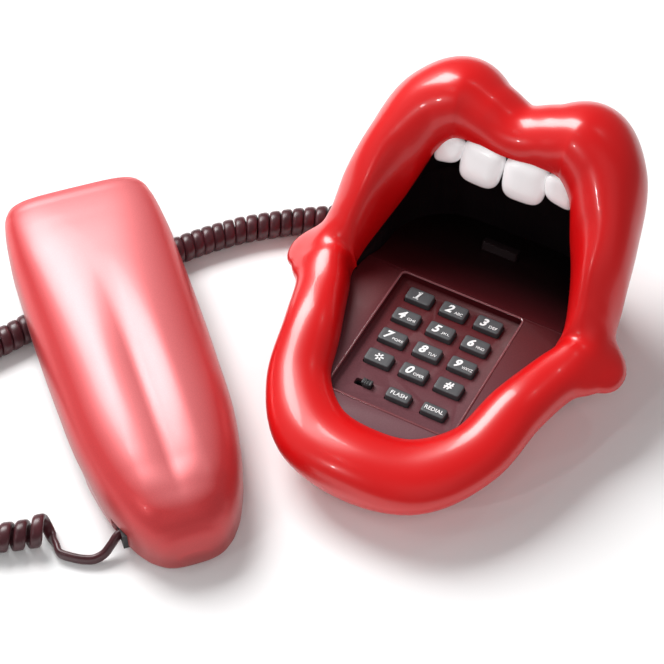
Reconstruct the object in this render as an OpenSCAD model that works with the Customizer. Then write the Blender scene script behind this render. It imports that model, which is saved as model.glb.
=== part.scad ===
/* [Mouth] */
// Wall thickness of the moulded lips
lip_wall = 2.4; // [2:0.2:3]
// Height of the mouth floor above the table
floor_z = 30; // [29.5:0.1:30.5]
// Downward slope of the mouth floor behind the dial, in degrees
slope = 17; // [16:0.5:18]
// Thickness of the mouth floor
floor_t = 2.5; // [2:0.1:2.8]

/* [Dial] */
// Spacing of the key columns
key_dx = 17; // [16.6:0.1:17.4]
// Spacing of the key rows
key_dy = 13.1; // [12.8:0.1:13.4]
// Width of a dial key
key_w = 12.5; // [12:0.1:13]
// Depth of a dial key
key_d = 7.4; // [7:0.1:7.8]
// Height of the key tops above the dial panel
key_h = 2.6; // [2:0.1:3]
// Gap all round a key in its hole
key_gap = 0.3; // [0.25:0.05:0.4]

/* [Handset] */
// Length of the tongue handset
tongue_l = 200; // [196:1:204]
// Wall thickness of the handset shells
tongue_wall = 2.4; // [2:0.1:2.6]
// Depth of the furrow along the tongue
furrow = 2.8; // [1.5:0.1:3]

/* [Cord] */
// Outer diameter of the curly cord
coil_d = 13; // [12:0.5:13]
// Diameter of the straight ends of the cord
lead_d = 4; // [3.4:0.1:4]

/* [Hidden] */
$fn = 32;

// The base stands here, so that base and handset together are centred on the origin
base_x = 63.5;
base_y = 23.5;
// Tip of the tongue on the table, from the base's own origin, and its heading
tip_x = -41.7;
tip_y = -139;
tongue_turn = 137.2;

// ---- curves -------------------------------------------------------------
function wrap(a, i) = a[(i + len(a)) % len(a)];
function held(a, i) = a[max(0, min(len(a) - 1, i))];
function smooth(a, b, c, d, t) =
    0.5 * (2 * b + (c - a) * t + (2 * a - 5 * b + 4 * c - d) * t * t
           + (3 * b - a - 3 * c + d) * t * t * t);
// A closed smooth run through rows of numbers, n steps a span
function closed_run(rows, n) =
    [for (i = [0:len(rows) - 1], k = [0:n - 1])
        smooth(wrap(rows, i - 1), rows[i], wrap(rows, i + 1), wrap(rows, i + 2), k / n)];
// An open smooth run through rows of numbers, n steps a span
function open_run(rows, n) =
    concat([for (i = [0:len(rows) - 2], k = [0:n - 1])
        smooth(held(rows, i - 1), rows[i], rows[i + 1], held(rows, i + 2), k / n)],
        [rows[len(rows) - 1]]);
// Rows for the right half, mirrored in x to make the whole loop
function both_sides(rows) =
    concat(rows, [for (i = [len(rows) - 2:-1:1]) concat([-rows[i][0]],
        [for (j = [1:len(rows[i]) - 1]) rows[i][j]])]);
// Unit vector in plan that points out of a closed run at row i
function outward(rows, i) =
    let (a = wrap(rows, i - 1), b = wrap(rows, i + 1), d = [b[0] - a[0], b[1] - a[1]])
    [d[1], -d[0]] / norm(d);
// Plan point at distance r outward of row i
function plan_at(rows, i, r) =
    let (n = outward(rows, i)) [rows[i][0] + n[0] * r, rows[i][1] + n[1] * r];

// ---- solids from rings --------------------------------------------------
// Triangles between ring i and ring k, each of m points
function band(i, k, m) =
    [for (j = [0:m - 1]) let (a = i * m + j, b = i * m + (j + 1) % m,
        c = k * m + j, d = k * m + (j + 1) % m) each [[a, b, c], [b, d, c]]];
// Rings joined end to end into a closed loop
module ring_loop(rings) {
    n = len(rings);
    m = len(rings[0]);
    polyhedron(points = [for (r = rings) each r],
        faces = [for (i = [0:n - 1]) each band(i, (i + 1) % n, m)]);
}
// Rings in a row, closed by a flat face at each end
module ring_row(rings) {
    n = len(rings);
    m = len(rings[0]);
    polyhedron(points = [for (r = rings) each r],
        faces = concat([for (i = [0:n - 2]) each band(i, i + 1, m)],
            [[for (j = [m - 1:-1:0]) j]],
            [[for (j = [0:m - 1]) (n - 1) * m + j]]));
}
// A round tube along a path that never stands straight up
function heading(p, i) =
    let (d = held(p, i + 1) - held(p, i - 1)) d / norm(d);
module tube(path, d, sides = 8) {
    ring_row([for (i = [0:len(path) - 1])
        let (t = heading(path, i), s = cross(t, [0, 0, 1]) / norm(cross(t, [0, 0, 1])),
             u = cross(s, t))
        [for (j = [0:sides - 1]) path[i] + d / 2 * (cos(360 * j / sides) * s
            + sin(360 * j / sides) * u)]]);
}
module rounded_bar(w, d, h, r) {
    linear_extrude(h) {
        square([w - 2 * r, d], center = true);
        square([w, d - 2 * r], center = true);
        for (x = [-1, 1], y = [-1, 1])
            translate([x * (w / 2 - r), y * (d / 2 - r)])
                circle(r);
    }
}
module at_base() {
    translate([base_x, base_y, 0])
        children();
}
module at_handset() {
    translate([base_x + tip_x, base_y + tip_y, 0])
        rotate([0, 0, tongue_turn])
            children();
}

// ---- lips ---------------------------------------------------------------
// One row per station of the lip roll, from the middle of the lower lip round the right
// corner to the middle of the upper lip:
// x, y, z of the roll's centre, half width inward and outward, height above and depth
// below the centre, radius out to the standing wall, height of the inner edge, length of
// the corner's point, and the liner's distance out at its foot and behind the edge
lip_rows = [
    [0, -75, 22, 20.3, 15.1, 14.4, 13.2, 3, 31.6, 0, -12, 0.6],
    [24, -68, 23.4, 17.6, 17.7, 12.6, 11, 2, 31.6, 0, -12, 0.6],
    [41, -49, 27.5, 13.6, 15.5, 11, 9, 0, 31.6, 0, -12, 0.6],
    [49, -24, 33.7, 12.7, 13.3, 10.8, 8, -2, 31.6, 0, -12, 0.6],
    [54, -2, 33.5, 9.9, 14.5, 11, 8, -3, 31.6, 0, -11, 0.6],
    [58, 9, 31.8, 9.4, 13.8, 13.5, 8.5, -2, 31.6, 4.4, -10, 0.6],
    [60, 17, 29, 11.2, 14.5, 17, 10.4, -1, 32, 7.9, -10.9, 0.6],
    [58, 25, 35.6, 8.5, 13.9, 21, 14.2, 1, 34, 0.9, -9, 0.6],
    [55, 36, 48.8, 8.8, 15.4, 23.3, 18.9, 3, 41, 0, -8.6, 0.8],
    [52, 53.5, 66.2, 14.3, 15.3, 23.2, 23, 5, 57.2, 0, -5, 1.5],
    [43.5, 68.5, 82.7, 15.3, 20.3, 21.4, 28, 9, 73.9, 0, 0, 4],
    [29.5, 76.5, 90.2, 15.6, 25.1, 19.8, 30, 13, 83.8, 0, 6, 6],
    [13.5, 76, 88.3, 14.1, 19.2, 16.5, 30, 15, 87.2, 0, 9, 7],
    [0, 74.5, 85.1, 13.7, 18, 15, 30, 16, 86.9, 0, 10, 7]];
lip_steps = 3;
lip_run = closed_run(both_sides(lip_rows), lip_steps);
lip_n = len(lip_run);
rim_z = 3;
point_h = 8;
edge_steps = 12;
tuck_steps = 5;
// Angle round the roll at which the inner edge lies
function edge_angle(row) = asin(max(-0.7, min(0.95, (row[8] - row[2]) / row[5])));
function corner_point(row, h, c) = row[9] * exp(-pow(h / point_h, 2)) * c * c;
// Section of the roll as [distance out, height], drawn in by t
function lip_arc(row, t) =
    let (e = edge_angle(row))
    concat(
        [for (k = [0:edge_steps])
            let (a = e + (180 - e) * k / edge_steps, h = (row[5] - t) * sin(a),
                 w = (a < 90 ? row[3] : row[4]) - t)
            [-w * cos(a) + (a > 90 ? corner_point(row, h, cos(a)) : 0), row[2] + h]],
        [for (k = [1:tuck_steps])
            let (a = 90 * k / tuck_steps, h = -(row[6] - t) * sin(a))
            [row[7] - t + (row[4] - row[7]) * cos(a) + corner_point(row, h, cos(a)),
             row[2] + h]],
        [[row[7] - t, rim_z]]);
function lip_ring(i) =
    let (o = lip_arc(lip_run[i], 0), q = lip_arc(lip_run[i], lip_wall), m = len(o))
    [for (p = concat(o, [for (k = [m - 1:-1:0]) q[k]]))
        let (s = plan_at(lip_run, i, p[0])) [s[0], s[1], p[1]]];
module lips_shell() {
    color("red")
        at_base()
            difference() {
                ring_loop([for (i = [0:lip_n - 1]) lip_ring(i)]);
                jack_cut(line_jack_y, line_jack_w);
                jack_cut(cord_jack_y, cord_jack_w);
            }
}

// ---- floor of the mouth -------------------------------------------------
fold_y = 28;
function floor_at(y) = floor_z - max(0, y - fold_y) * tan(slope);
// Distance out from the roll's centre to the edge of the floor
function edge_r(row) = -row[3] * cos(edge_angle(row));
corner_i = 6 * lip_steps;
function floor_r(i) =
    (i < corner_i || i > lip_n - corner_i) ? edge_r(lip_run[i]) + 3.2 : lip_run[i][10] - 0.2;
floor_outline = [for (i = [0:lip_n - 1]) plan_at(lip_run, i, floor_r(i))];
panel_w = 59;
panel_l = 73;
panel_y = -11;
panel_lip = 1.5;
panel_drop = 3.5;
hook_y = 66;
hook_w = 18;
hook_d = 4.4;
post_spots = [[0, -54.5], [-37, 2], [37, 2], [-27, 60], [27, 60]];
post_r = 3.8;
post_z = 6;
screw_r = 1.45;
module floor_sheet(y0, y1) {
    intersection() {
        polygon(floor_outline);
        translate([-100, y0])
            square([200, y1 - y0]);
    }
}
// Sheet lying in the sloping part of the floor, with its fold line on the x axis
module sloping() {
    translate([0, fold_y, floor_z])
        rotate([-slope, 0, 0])
            children();
}
hook_s = (hook_y - fold_y) / cos(slope);
module mouth_tray() {
    color("#5a1f2a")
        at_base()
            difference() {
                union() {
                    translate([0, 0, floor_z - floor_t])
                        linear_extrude(floor_t)
                            floor_sheet(-100, fold_y);
                    sloping()
                        translate([0, 0, -floor_t])
                            linear_extrude(floor_t)
                                scale([1, 1 / cos(slope)])
                                    translate([0, -fold_y])
                                        floor_sheet(fold_y - 1, 100);
                    for (p = post_spots)
                        translate([p[0], p[1], post_z])
                            cylinder(r = post_r, h = floor_at(p[1]) - floor_t + 0.6 - post_z);
                }
                translate([0, panel_y, floor_z - floor_t - 1])
                    linear_extrude(floor_t + 2)
                        square([panel_w, panel_l], center = true);
                sloping()
                    translate([-hook_w / 2 - 0.3, hook_s - hook_d / 2 - 0.3, -floor_t - 1])
                        cube([hook_w + 0.6, hook_d + 0.6, floor_t + 2]);
                for (p = post_spots)
                    translate([p[0], p[1], post_z - 1])
                        cylinder(r = screw_r, h = 9);
            }
}
// Black wall between the floor and the inner edge of the lips
liner_t = 1.6;
function liner_ring(i) =
    let (row = lip_run[i], e = edge_angle(row), top_r = edge_r(row) + row[11],
         top_z = row[2] + (row[5] - lip_wall) * sin(e) - 0.6, foot = plan_at(lip_run, i, row[10]),
         foot_z = floor_at(foot[1]) - floor_t, mid_r = (top_r + row[10]) / 2 + 0.08 * (top_z - foot_z),
         mid_z = (max(top_z, foot_z + 0.4) + foot_z) / 2, head_z = max(top_z, foot_z + 0.8))
    [for (p = [[top_r, head_z], [top_r + liner_t, head_z], [mid_r + liner_t, mid_z],
               [row[10] + liner_t, foot_z], [row[10], foot_z], [mid_r, mid_z]])
        let (s = plan_at(lip_run, i, p[0])) [s[0], s[1], p[1]]];
module mouth_liner() {
    color("#160c0e")
        at_base()
            ring_row([for (i = [corner_i:lip_n - corner_i]) liner_ring(i)]);
}

// ---- teeth --------------------------------------------------------------
// Middle of each tooth: x, y, z at its biting edge, width, length and turn
teeth = [[-27.2, 60.2, 72, 14, 12, -20], [-10.7, 57.6, 68, 21, 17, -5],
         [10.7, 57.6, 68, 21, 17, 5], [27.2, 60.2, 72, 14, 12, 20]];
tooth_r = 3.2;
tooth_lean = 22;
gum_w = 60;
module tooth(w, l) {
    rotate([-tooth_lean, 0, 0])
        hull()
            for (x = [-1, 1], z = [tooth_r, l - tooth_r])
                translate([x * (w / 2 - tooth_r - (z < l / 2 ? 0.9 : 0.2)), 0, z])
                    sphere(tooth_r, $fn = 16);
}
module teeth_strip() {
    color("white")
        at_base() {
            for (t = teeth)
                translate([t[0], t[1], t[2] - tooth_r])
                    rotate([0, 0, t[5]])
                        tooth(t[3], t[4]);
            translate([-gum_w / 2, 60.8, 76])
                cube([gum_w, 2.4, 3.6]);
        }
}

// ---- dial ---------------------------------------------------------------
panel_z = floor_z - panel_drop;
panel_t = 2;
key_top = panel_z + key_h;
key_names = ["1", "2", "3", "4", "5", "6", "7", "8", "9", "star", "0", "hash"];
dial_y = 17;
function key_spot(i) = [(i % 3 - 1) * key_dx, dial_y - floor(i / 3) * key_dy];
small_y = -36.8;
small_w = 11.4;
small_d = 5.8;
flange = 0.9;
flange_t = 1;
// Flange of a key hangs this far under the panel
flange_gap = 0.2;
panel_screw_spots = [[-27.5, 23], [27.5, 23], [-27.5, -43.5], [27.5, -43.5]];
module key(x, y, w, d) {
    at_base()
        translate([x, y, 0]) {
            translate([0, 0, panel_z - panel_t - flange_gap - flange_t])
                linear_extrude(flange_t)
                    square([w + 2 * flange, d + 2 * flange], center = true);
            translate([0, 0, panel_z - panel_t - flange_gap - flange_t])
                rounded_bar(w, d, key_top - panel_z + panel_t + flange_gap + flange_t, 1.1);
        }
}
module dial_key(i) {
    color("#2b2b30")
        key(key_spot(i)[0], key_spot(i)[1], key_w, key_d);
}
module key_1() { dial_key(0); }
module key_2() { dial_key(1); }
module key_3() { dial_key(2); }
module key_4() { dial_key(3); }
module key_5() { dial_key(4); }
module key_6() { dial_key(5); }
module key_7() { dial_key(6); }
module key_8() { dial_key(7); }
module key_9() { dial_key(8); }
module key_star() { dial_key(9); }
module key_0() { dial_key(10); }
module key_hash() { dial_key(11); }
module key_flash() {
    color("#2b2b30")
        key(0, small_y, small_w, small_d);
}
module key_redial() {
    color("#2b2b30")
        key(key_dx, small_y, small_w, small_d);
}
slot_w = 8.6;
slot_d = 3.6;
module keypad_panel() {
    color("#6b2430")
        at_base()
            difference() {
                union() {
                    translate([0, panel_y, panel_z - panel_t])
                        linear_extrude(panel_t)
                            square([panel_w + 2 * panel_lip, panel_l + 2 * panel_lip], center = true);
                    translate([0, panel_y, panel_z - panel_t])
                        linear_extrude(floor_z - floor_t - panel_z + panel_t)
                            square([panel_w + 2 * panel_lip, panel_l + 2 * panel_lip], center = true);
                }
                translate([0, panel_y, panel_z])
                    linear_extrude(panel_drop)
                        square([panel_w, panel_l], center = true);
                for (i = [0:11])
                    translate([key_spot(i)[0], key_spot(i)[1], panel_z - panel_t - 1])
                        rounded_bar(key_w + 2 * key_gap, key_d + 2 * key_gap, panel_t + 2, 1.2);
                for (x = [0, key_dx])
                    translate([x, small_y, panel_z - panel_t - 1])
                        rounded_bar(small_w + 2 * key_gap, small_d + 2 * key_gap, panel_t + 2, 1.2);
                translate([-key_dx, small_y, panel_z - panel_t - 1])
                    rounded_bar(slot_w, slot_d, panel_t + 2, 0.8);
                for (p = panel_screw_spots)
                    translate([p[0], p[1], panel_z - panel_t - 1])
                        cylinder(r = 0.8, h = panel_t);
            }
}
// Rubber sheet with a dome under each key
sheet_z = 19.6;
sheet_t = 1;
dome_top = panel_z - panel_t - flange_gap - flange_t - 0.1;
module keypad_membrane() {
    color("#d8d4cc")
        at_base() {
            translate([0, panel_y, sheet_z])
                linear_extrude(sheet_t)
                    square([50, 62], center = true);
            for (i = [0:11])
                translate([key_spot(i)[0], key_spot(i)[1], sheet_z + sheet_t - 0.1])
                    cylinder(r1 = 3.4, r2 = 2, h = 1.1);
            for (x = [0, key_dx])
                translate([x, small_y, sheet_z + sheet_t - 0.1])
                    cylinder(r1 = 2.6, r2 = 1.8, h = 1.1);
        }
}
board_w = 64;
board_l = 76;
board_t = 1.6;
board_z = sheet_z - board_t;
module main_board() {
    color("#2f6b3c")
        at_base()
            difference() {
                translate([-board_w / 2, panel_y - board_l / 2, board_z])
                    cube([board_w, board_l, board_t]);
                for (p = panel_screw_spots)
                    translate([p[0], p[1], board_z - 1])
                        cylinder(r = 1.3, h = board_t + 2);
            }
}
// Dialling chip, capacitors and transformer soldered under the board
module board_parts() {
    color("#1d1d20")
        at_base() {
            translate([-11, -6, board_z - 3.4])
                cube([22, 6.4, 3.4]);
            translate([-24, 4, board_z - 8])
                cube([9, 11, 8]);
            for (x = [14, 21])
                translate([x, 10, board_z - 7])
                    cylinder(r = 2.6, h = 7);
            translate([-6, -32, board_z - 2.6])
                cube([15, 6, 2.6]);
        }
}
module panel_screws() {
    color("silver")
        at_base()
            for (p = panel_screw_spots)
                translate([p[0], p[1], 0]) {
                    translate([0, 0, board_z - 1.5])
                        cylinder(r = 2.2, h = 1.5);
                    translate([0, 0, board_z - 0.1])
                        cylinder(r = 0.8, h = panel_z - panel_t - board_z + 1);
                }
}
// Two-way slide switch beside the small keys
module tone_switch_body() {
    color("#3a3a3e")
        at_base()
            translate([-key_dx, small_y, 0])
                difference() {
                    translate([-6, -3.4, sheet_z + sheet_t + 0.1])
                        cube([12, 6.8, panel_z - panel_t - sheet_z - sheet_t - 0.3]);
                    translate([-4, -1.2, sheet_z + sheet_t + 1.2])
                        cube([8, 2.4, 6]);
                }
}
knob_travel = 3.4;
module tone_switch_knob() {
    color("#222226")
        at_base()
            translate([-key_dx + knob_travel / 2, small_y, 0]) {
                translate([-1.9, -1, sheet_z + sheet_t + 1.6])
                    cube([3.8, 2, panel_z - sheet_z - sheet_t - 1.6 + 0.4]);
                difference() {
                    translate([-2.3, -1.4, panel_z + 0.3])
                        cube([4.6, 2.8, 2.2]);
                    for (x = [-1.2, 0, 1.2])
                        translate([x - 0.25, -2, panel_z + 2.1])
                            cube([0.5, 4, 1]);
                }
            }
}

// ---- hook switch --------------------------------------------------------
hook_rise = 4;
hook_flange = 3.4;
pin_r = 1.2;
pin_end = -8;
seat_top = -9.2;
seat_t = 1.6;
module hook_plunger() {
    color("#241216")
        at_base()
            sloping()
                translate([0, hook_s, 0]) {
                    translate([0, 0, -hook_flange])
                        rounded_bar(hook_w, hook_d, hook_rise + hook_flange, 1);
                    translate([0, 0, -hook_flange - 0.8])
                        linear_extrude(0.8)
                            square([hook_w + 3, hook_d + 2], center = true);
                    translate([0, 0, pin_end])
                        cylinder(r = pin_r, h = -pin_end - hook_flange);
                }
}
spring_turns = 4;
spring_r = 2;
wire_d = 0.5;
spring_top = -hook_flange - 0.8;
module hook_spring() {
    color("silver")
        at_base()
            sloping()
                translate([0, hook_s, seat_top + wire_d / 2])
                    tube([for (i = [0:spring_turns * 12])
                        [spring_r * cos(i * 30), spring_r * sin(i * 30),
                         (spring_top - seat_top - wire_d) * i / (spring_turns * 12)]],
                        wire_d, 6);
}
module hook_switch_body() {
    color("#3a3a3e")
        at_base()
            difference() {
                union() {
                    sloping()
                        translate([-7, hook_s - 5, seat_top - seat_t])
                            cube([14, 10, seat_t]);
                    for (x = [-7, 4.4])
                        translate([x, hook_y - 9.4, pan_top])
                            cube([2.6, 9, 6.8]);
                }
                sloping()
                    translate([0, hook_s, seat_top - seat_t - 6])
                        cylinder(r = pin_r + 0.25, h = seat_t + 8);
                sloping()
                    translate([-10, hook_s - 12, seat_top])
                        cube([20, 30, 10]);
            }
}

// ---- base ---------------------------------------------------------------
pan_z = 1.5;
pan_top = 4;
pan_rim = 8;
pan_gap = 0.3;
pan_wall = 2;
function pan_outline(t) =
    [for (i = [0:lip_n - 1]) plan_at(lip_run, i, lip_run[i][7] - lip_wall - pan_gap - t)];
foot_spots = [[-28, -48], [28, -48], [-40, 50], [40, 50]];
foot_r = 6;
line_jack_y = 44;
line_jack_w = 12;
cord_jack_y = 59.5;
cord_jack_w = 10.4;
jack_x = -57;
jack_h = 11.4;
jack_top = pan_top + 0.2 + jack_h;
module jack_cut(y, w) {
    translate([jack_x - 14, y - w / 2 - 0.3, 0])
        cube([26, w + 0.6, jack_top + 0.3]);
}
module base_pan() {
    color("#1c1c1e")
        at_base()
            difference() {
                union() {
                    translate([0, 0, pan_z])
                        linear_extrude(pan_top - pan_z)
                            polygon(pan_outline(0));
                    translate([0, 0, pan_z])
                        linear_extrude(pan_rim - pan_z)
                            difference() {
                                polygon(pan_outline(0));
                                polygon(pan_outline(pan_wall));
                            }
                    for (p = post_spots)
                        translate([p[0], p[1], pan_z])
                            cylinder(r = 4.6, h = post_z - pan_z);
                }
                for (p = post_spots)
                    translate([p[0], p[1], 0]) {
                        cylinder(r = 3.4, h = 4);
                        cylinder(r = 1.7, h = 10);
                    }
                for (p = foot_spots)
                    translate([p[0], p[1], 0])
                        cylinder(r = foot_r + 0.1, h = 2.3);
                for (j = [[line_jack_y, line_jack_w], [cord_jack_y, cord_jack_w]])
                    translate([jack_x - 10, j[0] - j[1] / 2 - 0.3, pan_top])
                        cube([20, j[1] + 0.6, 10]);
            }
}
module rubber_feet() {
    color("#151515")
        at_base()
            for (p = foot_spots)
                translate([p[0], p[1], 0])
                    cylinder(r = foot_r, h = 2.3);
}
module base_screws() {
    color("silver")
        at_base()
            for (p = post_spots)
                translate([p[0], p[1], 0]) {
                    difference() {
                        translate([0, 0, 1.9])
                            cylinder(r = 3, h = 2.1);
                        for (a = [0, 90])
                            rotate([0, 0, a])
                                translate([-1.6, -0.3, 1.8])
                                    cube([3.2, 0.6, 1]);
                    }
                    translate([0, 0, 3.9])
                        cylinder(r = screw_r, h = 9);
                }
}
module ballast_plate() {
    color("#6e7176")
        at_base()
            translate([-18, -34, pan_top])
                cube([36, 60, 3.2]);
}
module ringer() {
    color("#c9a24a")
        at_base()
            translate([-28, -32, pan_top]) {
                cylinder(r = 7, h = 4.4);
            }
}
// Modular socket: front on the outside of the base, opening facing -x
module jack(y, w, hole_w, hole_h) {
    at_base()
        translate([jack_x, y, pan_top])
            difference() {
                translate([0, -w / 2, 0])
                    cube([14, w, jack_h + 0.2]);
                translate([-1, -hole_w / 2, 2.2])
                    cube([12.6, hole_w, hole_h]);
                translate([-1, -1.7, 2.2])
                    cube([8, 3.4, hole_h + 1.4]);
            }
}
module line_jack() {
    color("#26262a")
        jack(line_jack_y, line_jack_w, 9.8, 6.8);
}
plug_w = 7.6;
plug_h = 6.5;
plug_l = 12;
module cord_jack() {
    color("#26262a")
        jack(cord_jack_y, cord_jack_w, plug_w + 0.3, plug_h + 0.3);
}
module plug() {
    translate([-plug_l, -plug_w / 2, 0])
        cube([plug_l, plug_w, plug_h]);
}

// ---- handset ------------------------------------------------------------
// One row per station from the tip back: place along, half width, height of the top and
// of the underside, height of the widest level, depth of the furrow, how far the hollow's
// floor stands above the wall beside the steps of the pods, and how square the section is
tongue_rows = [
    [0,     7,   13,   6,    9,  0,   0,   0],
    [1.5,  11.5, 18.5, 4.6,  9,  0,   0,   0],
    [5,    16.6, 25.5, 3.2,  9,  0,   0,   0],
    [11,   21.8, 31.5, 2.6, 10,  0.1, 0,   0],
    [20,   26.4, 36,   2.5, 12,  0.6, 0,   0],
    [34,   31,   38.5, 2.5, 14,  1,   0,   0],
    [48,   33.8, 39.6, 2.5, 15.3, 1,  4.2, 0],
    [56,   35.1, 40,   14,  15.5, 1,  0,   0],
    [90,   37.2, 40.6, 14,  15.5, 1,  0,   0],
    [122,  38,   40.4, 14,  15.5, 0.4, 0,  0.15],
    [150,  38,   39.2, 14,  15.5, 0,  0,   0.45],
    [171,  37.6, 37.8, 14,  15.5, 0,  0,   0.75],
    [177,  37.1, 37.2, 2.5, 15.5, 0,  4.9, 0.85],
    [181,  36.8, 36.8, 2.5, 15.5, 0,  0,   0.9],
    [190,  35.6, 35.6, 2.5, 15.5, 0,  0,   1],
    [196.5, 33.8, 34.4, 2.8, 15.5, 0, 0,   1],
    [199,  32,   33,   3.6, 15.5, 0,  0,   1],
    [200,  30,   31.4, 4.8, 15.5, 0,  0,   1]];
// Height of the underside between the two pods
arch_z = 14;
tongue_run = [for (r = open_run(tongue_rows, 2))
    [r[0] * tongue_l / 200, r[1], r[2], max(2.5, min(arch_z, r[3])), r[4], max(0, r[5]),
        max(0, r[6]), max(0, min(1, r[7]))]];
furrow_w = 15;
top_steps = 20;
under_steps = 12;
square_cut = 0.34;
function signed_pow(v, e) = (v < 0 ? -1 : 1) * pow(abs(v), e);
function fall(v) = pow(max(0, 1 - abs(v) / furrow_w), 1.5);
// Place along the tongue, pressed together near both ends to leave t there
end_l = 18;
function inset(u, t) =
    u < end_l ? t + u * (end_l - t) / end_l
    : u > tongue_l - end_l ? tongue_l - t - (tongue_l - u) * (end_l - t) / end_l : u;
// Section of the tongue at one station, drawn in by t
function tongue_ring(row, t) =
    let (w = row[1] - t, top = row[2] - t, mid = row[4], u = inset(row[0], t),
         low = min(row[3] + t + (t > 0 ? row[6] : 0), row[4]))
    concat(
        [for (k = [0:top_steps])
            let (a = 180 * k / top_steps, v = -w * signed_pow(cos(a), 0.78 - square_cut * row[7]))
            [u, v, mid + (top - mid) * pow(sin(a), 0.82 - square_cut * row[7])
                - furrow * row[5] * fall(v)]],
        [for (k = [1:under_steps - 1])
            let (a = 180 + 180 * k / under_steps)
            [u, -w * signed_pow(cos(a), 0.42), mid - (mid - low) * pow(-sin(a), 0.5)]]);
module tongue_solid(t) {
    ring_row([for (r = tongue_run) tongue_ring(r, t)]);
}
// Seam between the two shells, just above the hollow's floor, as a side view that reaches far up
seam_z = arch_z + tongue_wall + 0.3;
seam = [[-10, 4], [12, 4], [46, seam_z], [tongue_l + 10, seam_z],
        [tongue_l + 10, 80], [-10, 80]];
module above_seam(gap) {
    translate([0, 60, gap])
        rotate([90, 0, 0])
            linear_extrude(120)
                polygon(seam);
}
hs_jack_u = 22;
hs_jack_v = 27;
hs_jack_z = 4.9;
module hs_jack_cut() {
    translate([hs_jack_u - 5.4, hs_jack_v - 15.6, hs_jack_z - 0.1])
        cube([10.8, 31.6, 9]);
}
hs_screw_u = [62, 120];
module tongue_shell() {
    color("#f0807f")
        at_handset()
            difference() {
                union() {
                    difference() {
                        intersection() {
                            tongue_solid(0);
                            above_seam(0);
                        }
                        tongue_solid(tongue_wall);
                    }
                    intersection() {
                        for (u = hs_screw_u)
                            translate([u, 0, seam_z + 0.2])
                                cylinder(r = 3.2, h = 30);
                        tongue_solid(tongue_wall / 3);
                    }
                }
                for (u = hs_screw_u)
                    translate([u, 0, seam_z - 1])
                        cylinder(r = 1.5, h = 9);
                hs_jack_cut();
            }
}
ear_u = 189.3;
mic_u = 27;
module handset_base() {
    color("#d98a8c")
        at_handset()
            difference() {
                tongue_solid(0);
                above_seam(-0.05);
                tongue_solid(tongue_wall);
                hs_jack_cut();
                for (x = [-4, 0, 4], y = [-8, -4, 0, 4, 8])
                    translate([ear_u + x, y, 0])
                        cylinder(r = 1.2, h = 8, $fn = 12);
                for (x = [-4, 0, 4])
                    translate([mic_u + x, -6, 0])
                        cylinder(r = 1, h = 8, $fn = 12);
                for (u = hs_screw_u)
                    translate([u, 0, 10])
                        cylinder(r = 1.7, h = 10, $fn = 24);
            }
}
module ear_receiver() {
    color("#8c8f94")
        at_handset()
            translate([ear_u, 0, 6.4])
                cylinder(r = 7.6, h = 6);
}
module mic_capsule() {
    color("#8c8f94")
        at_handset()
            translate([mic_u, -6, 5])
                cylinder(r = 4.8, h = 5);
}
module handset_weight() {
    color("#6e7176")
        at_handset()
            translate([70, -12, seam_z + 0.6])
                cube([30, 24, 7]);
}
module handset_screws() {
    color("silver")
        at_handset()
            for (u = hs_screw_u)
                translate([u, 0, 0]) {
                    translate([0, 0, 12.2])
                        cylinder(r = 2.8, h = 1.7);
                    translate([0, 0, 13.8])
                        cylinder(r = 1.4, h = 8);
                }
}
module handset_jack() {
    color("#26262a")
        at_handset()
            translate([hs_jack_u, hs_jack_v, hs_jack_z])
                difference() {
                    translate([-5.2, -15.2, 0])
                        cube([10.4, 15.2, 8.6]);
                    translate([-plug_w / 2 - 0.15, -13.7, 1])
                        cube([plug_w + 0.3, 20, plug_h + 0.3]);
                }
}
wire_t = 1.4;
module handset_wires() {
    color("#b03030")
        at_handset() {
            tube([[hs_jack_u, hs_jack_v - 16.1, 9], [hs_jack_u + 1, 8, 9.4], [mic_u, 2, 8]], wire_t, 6);
            tube(open_run([[hs_jack_u + 3, hs_jack_v - 16.1, 10], [36, 9, 13], [58, 14, 20],
                [110, 16, 20], [160, 12, 20], [178, 8, 18], [184, 3, 13.2]], 3), wire_t, 6);
        }
}

// ---- cord ---------------------------------------------------------------
coil_z = coil_d / 2;
plug_base_x = jack_x - 2.4;
plug_z = pan_top + 2.2 + plug_h / 2 + 0.15;
// Middle of the curly part where it lies on the table
coil_route = [
    [-75, 60, coil_z], [-81, 58.6, coil_z], [-86, 55.7, coil_z], [-98.1, 47.2, coil_z],
    [-112.2, 35.6, coil_z], [-120.1, 28, coil_z], [-131.9, 13.6, coil_z], [-143, -3, coil_z],
    [-156, -22, coil_z], [-165, -44, coil_z], [-173, -66, coil_z], [-183, -86, coil_z],
    [-194, -104, coil_z], [-203, -124, coil_z], [-205, -145, coil_z], [-197, -163, coil_z],
    [-179, -174.5, coil_z], [-157, -178, coil_z], [-138, -175, coil_z],
    [-121.5, -169, coil_z], [-104, -155, coil_z]];
module plug_base() {
    color("#e8e6e0")
        at_base()
            translate([plug_base_x, cord_jack_y, plug_z - plug_h / 2])
                translate([plug_l, 0, 0])
                    plug();
}
// Tiny gap where two lengths of cord meet face to face
meet = 0.05;
function step_off(p, dir, d) = p + dir / norm(dir) * d;
plug_face = [plug_base_x, cord_jack_y, plug_z];
coil_start = coil_route[0];
coil_in = coil_start - coil_route[1];
module cord_lead_base() {
    color("#3a1a20")
        at_base()
            tube(concat([step_off(plug_face, [-1, 0, 0], meet)],
                open_run([step_off(plug_face, [-1, 0, 0], 3), plug_face + [-8, 1.6, -1.6],
                    step_off(coil_start, coil_in, 3)], 3),
                [step_off(coil_start, coil_in, meet)]), lead_d);
}
module cord_coil() {
    color("#3a1a20")
        at_base()
            tube(open_run(coil_route, 1), coil_d, 12);
}
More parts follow.
